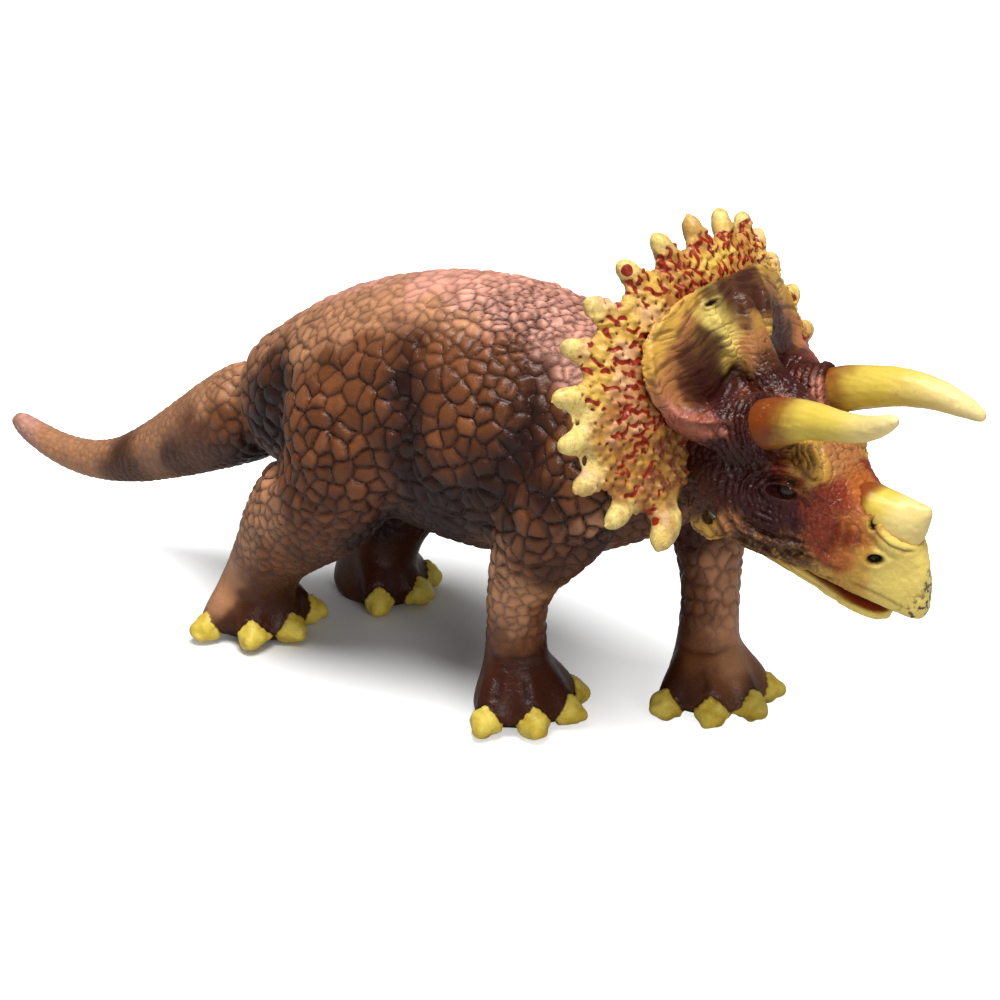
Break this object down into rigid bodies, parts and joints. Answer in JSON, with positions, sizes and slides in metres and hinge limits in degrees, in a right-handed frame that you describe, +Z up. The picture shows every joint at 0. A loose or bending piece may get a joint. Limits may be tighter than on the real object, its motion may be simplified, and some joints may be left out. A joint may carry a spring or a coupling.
{
  "type": "toy dinosaur",
  "caption": "Hand-painted PVC figure of a horned, frilled dinosaur walking on all fours, with a hinged lower jaw.",
  "frame": {"origin": "under the middle of the figure's bounding box, on the plane that its soles stand on", "axes": "+X towards the head, +Y to the animal's left, +Z up"},
  "size_m": [0.2346, 0.0842, 0.1026],
  "materials": {
    "skin_paint": "brown painted scales, satin",
    "face_paint": "maroon paint, satin",
    "frill_paint": "yellow paint with red dashes, satin",
    "horn_pvc": "pale yellow paint, semi-gloss",
    "pin_steel": "plain steel"
  },
  "bodies": {
    "figure": {"torso": "skin_paint", "tail": "skin_paint", "fore_leg_right": "skin_paint", "fore_leg_left": "skin_paint", "hind_leg_right": "skin_paint", "hind_leg_left": "skin_paint", "skull": "face_paint", "frill": "frill_paint", "brow_horn_right": "horn_pvc", "brow_horn_left": "horn_pvc", "nose_horn": "horn_pvc", "jaw_pin": "pin_steel"},
    "jaw": {"lower_jaw": "face_paint"}
  },
  "joints": [
    {"name": "jaw_hinge", "type": "hinge", "parent": "figure", "child": "jaw", "pos_m": [0.08034, 0, 0.053], "axis": [0, 1, 0], "range_deg": [-2, 14]}
  ]
}
